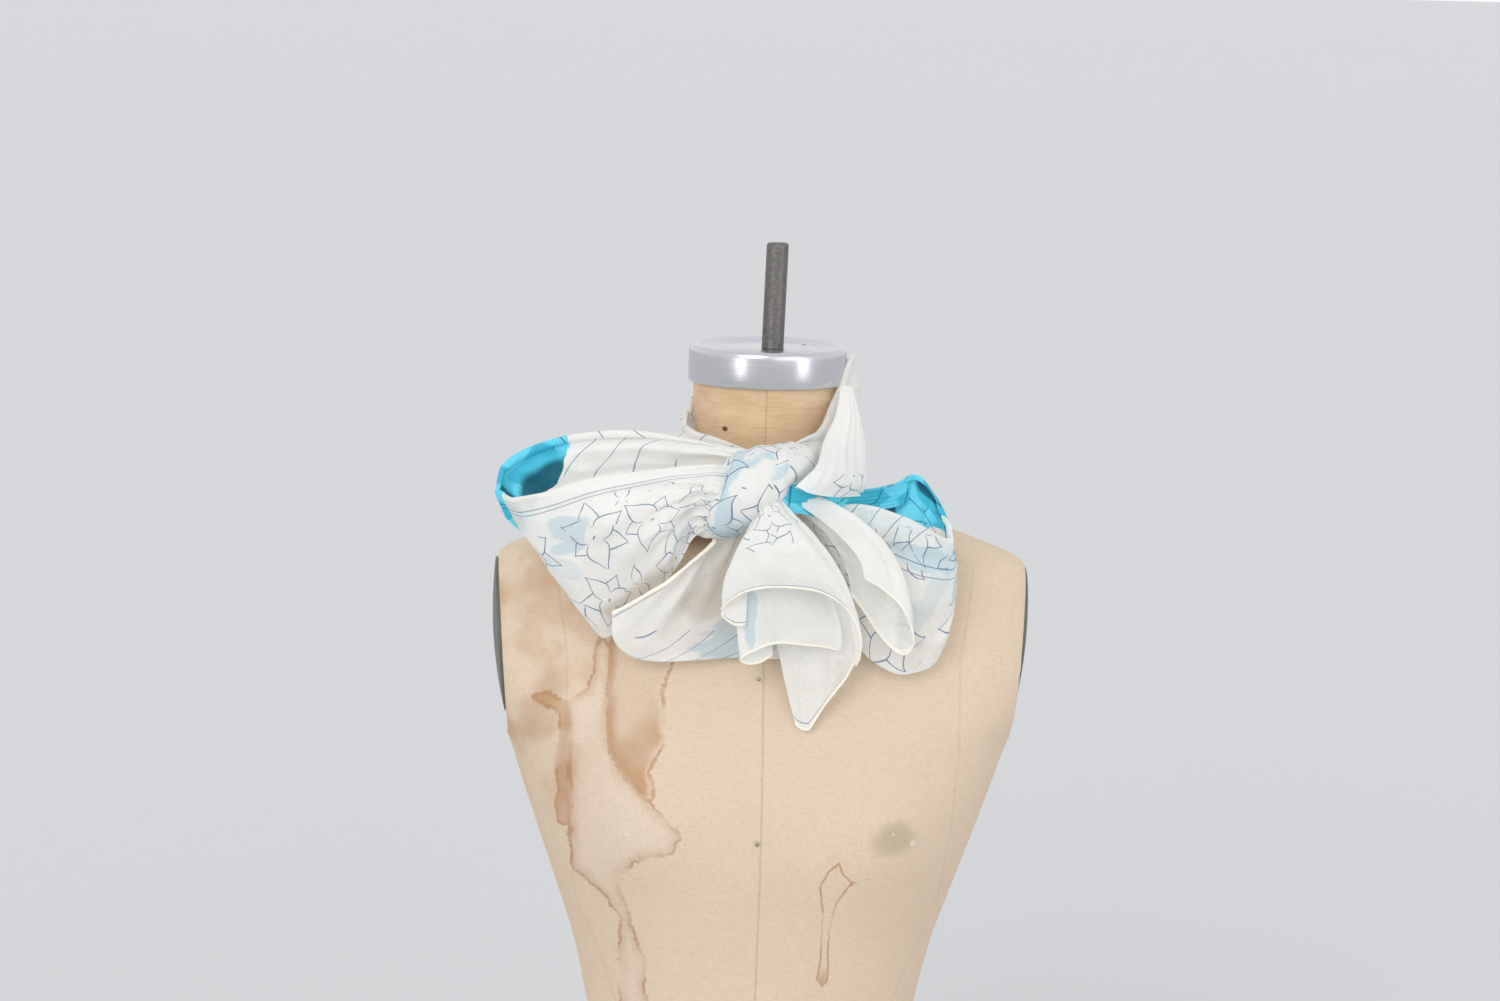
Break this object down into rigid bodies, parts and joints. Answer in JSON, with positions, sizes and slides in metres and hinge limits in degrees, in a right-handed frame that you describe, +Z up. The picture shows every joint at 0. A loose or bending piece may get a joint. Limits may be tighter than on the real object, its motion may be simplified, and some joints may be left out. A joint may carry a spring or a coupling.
{
  "type": "sheer scarf on dress form",
  "caption": "Sheer printed scarf tied in a soft bow round the bare neck of a limbless linen dress form, with loose loops, hanging tails and a draped corner.",
  "frame": {"origin": "centre of the dress form's flat underside", "axes": "+Z up along the form, -Y the way its chest and the scarf's knot face, +X to a viewer's right as the knot is faced"},
  "size_m": [0.3934, 0.2733, 0.8347],
  "materials": {
    "linen": "plain woven linen, water-stained",
    "papier_mache": "bare varnished papier-mache",
    "aluminium": "turned and brushed",
    "steel": "dark, rough drawn bar",
    "plate_paint": "worn dark grey-green paint",
    "scarf_silk": "sheer silk with a fine line print"
  },
  "bodies": {
    "root": {"torso": "linen", "neck": "papier_mache", "neck_cap": "aluminium", "rod": "steel", "armhole_plate_left": "plate_paint", "armhole_plate_right": "plate_paint", "knot": "scarf_silk", "neck_wrap": "scarf_silk", "left_loop": "scarf_silk", "right_loop": "scarf_silk", "front_tail": "scarf_silk", "middle_tail": "scarf_silk", "point_tail": "scarf_silk", "side_tail": "scarf_silk", "drape": "scarf_silk"}
  },
  "joints": []
}
